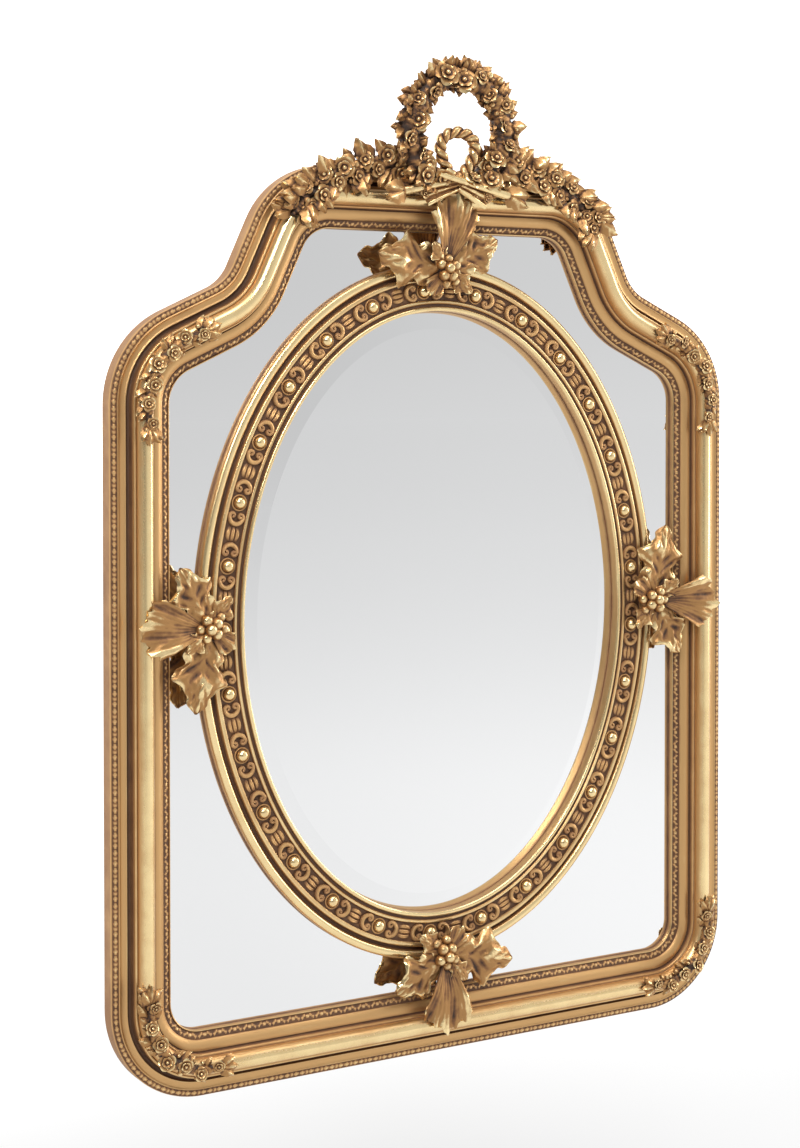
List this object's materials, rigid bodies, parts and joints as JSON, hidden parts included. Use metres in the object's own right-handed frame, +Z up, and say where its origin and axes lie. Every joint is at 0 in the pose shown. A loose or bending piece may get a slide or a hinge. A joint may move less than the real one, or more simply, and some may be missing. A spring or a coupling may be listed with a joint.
{
  "type": "wall mirror",
  "caption": "Shouldered gilt wall mirror with an oval inner frame, bevelled oval glass, margin glasses, leaf and berry ornaments, corner garlands and a wreath and bow crest.",
  "frame": {"origin": "on the wall plane, on the flat back of the outer frame behind the middle of the top rail", "axes": "+X to the right of someone who faces the mirror, +Y into the wall, +Z up"},
  "size_m": [1, 0.0865, 1.4011],
  "materials": {
    "gilt_wood": "antique gold leaf over a red-brown ground, burnished on the torus and beads, rubbed brown in the hollows",
    "gilt_composition": "cast ornament in antique gold, bright on the high points and brown in the hollows",
    "mirror_glass": "silvered glass, clear and polished",
    "backing_board": "plain unpainted board"
  },
  "bodies": {
    "root": {"outer_frame": "gilt_wood", "oval_frame": "gilt_wood", "oval_mirror": "mirror_glass", "margin_mirror_upper_left": "mirror_glass", "margin_mirror_upper_right": "mirror_glass", "margin_mirror_lower_left": "mirror_glass", "margin_mirror_lower_right": "mirror_glass", "backing_board": "backing_board", "leaf_ornament_top": "gilt_composition", "leaf_ornament_left": "gilt_composition", "leaf_ornament_bottom": "gilt_composition", "leaf_ornament_right": "gilt_composition", "corner_garland_upper_left": "gilt_composition", "corner_garland_upper_right": "gilt_composition", "corner_garland_lower_left": "gilt_composition", "corner_garland_lower_right": "gilt_composition", "crest": "gilt_composition"}
  },
  "joints": []
}
